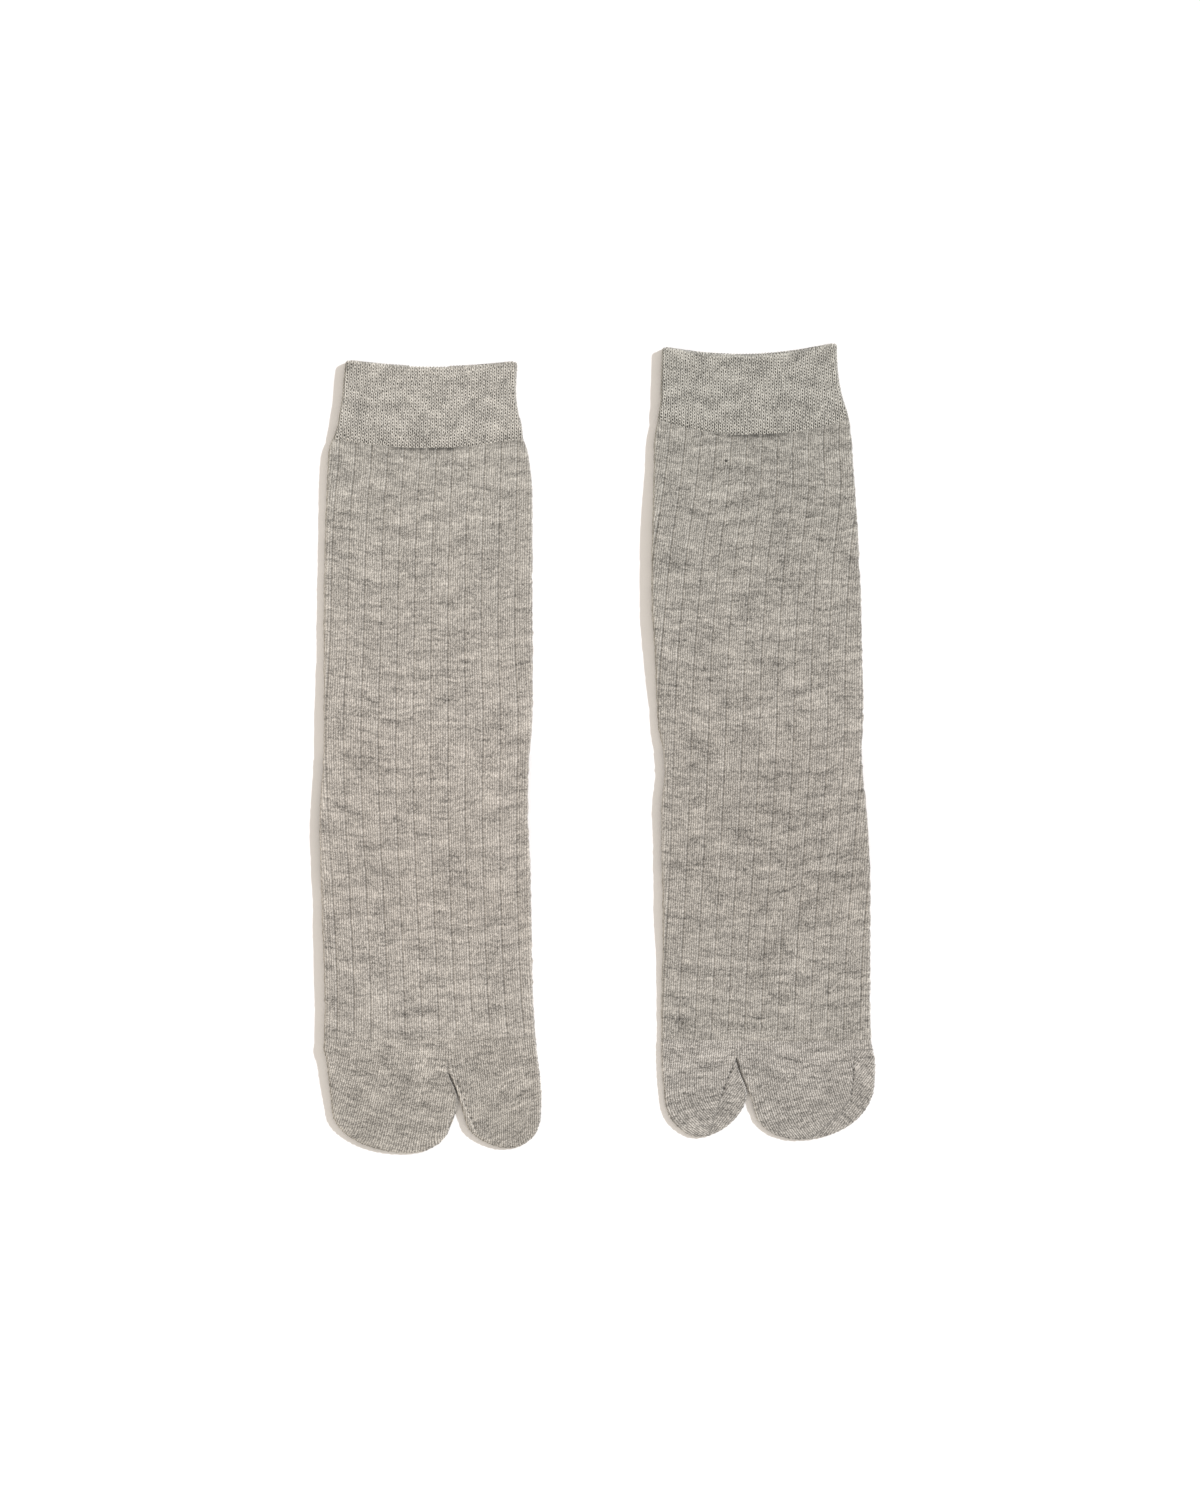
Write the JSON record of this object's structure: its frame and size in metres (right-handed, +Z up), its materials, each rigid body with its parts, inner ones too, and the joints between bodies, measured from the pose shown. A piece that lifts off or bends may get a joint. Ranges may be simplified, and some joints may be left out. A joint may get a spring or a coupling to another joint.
{
  "type": "pair of tabi socks",
  "caption": "Knitted split-toe socks laid flat: ribbed tube legs, turned cuffs, and a big-toe pouch parted from the rest so that a sandal's thong passes between them.",
  "frame": {"origin": "on the surface that the socks lie on, under the middle of the pair's box", "axes": "+Z up from the surface, +Y along the socks towards the cuffs, +X towards the left foot's sock"},
  "size_m": [0.239, 0.3482, 0.0055],
  "materials": {
    "cuff_knit": "matte heather mesh-like elastic knit, doubled",
    "rib_knit": "matte heather fine-gauge broad rib knit",
    "heel_knit": "matte heather plain knit",
    "toe_knit": "matte heather plain knit"
  },
  "bodies": {
    "root": {"right_cuff": "cuff_knit", "left_cuff": "cuff_knit", "right_leg_and_foot": "rib_knit", "left_leg_and_foot": "rib_knit", "right_heel_pocket": "heel_knit", "left_heel_pocket": "heel_knit", "right_toe_pouches": "toe_knit", "left_toe_pouches": "toe_knit"}
  },
  "joints": []
}
